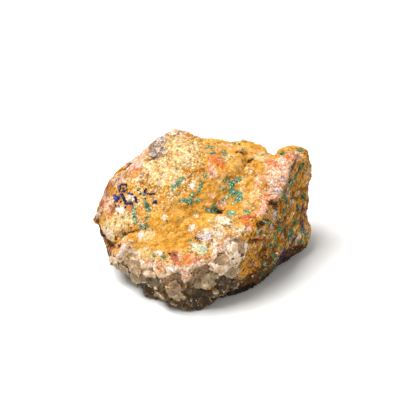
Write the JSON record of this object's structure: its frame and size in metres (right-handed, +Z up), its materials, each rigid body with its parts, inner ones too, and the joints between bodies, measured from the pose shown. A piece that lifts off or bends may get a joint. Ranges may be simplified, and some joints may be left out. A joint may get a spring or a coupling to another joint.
{
  "type": "mineral specimen",
  "caption": "Hand specimen of azurite and malachite on ochre matrix, with smoky quartz lumps along its lower front edge, resting on a flat broken base.",
  "frame": {"origin": "in the plane of the flat broken base, under the middle of the stone's box", "axes": "+X to the right across the show face, -Y out of the front, where the quartz shows, +Z up out of the base; the show face leans back and looks along -Y and +Z"},
  "size_m": [0.0706, 0.0526, 0.0423],
  "materials": {
    "ochre_matrix": "dull granular limonite crust, cream to orange brown",
    "quartz": "smoky translucent quartz with a glassy broken surface",
    "malachite": "fine green crystal crust, silky",
    "azurite": "fine deep blue crystals, glassy"
  },
  "bodies": {
    "root": {"stone": "ochre_matrix"}
  },
  "joints": []
}
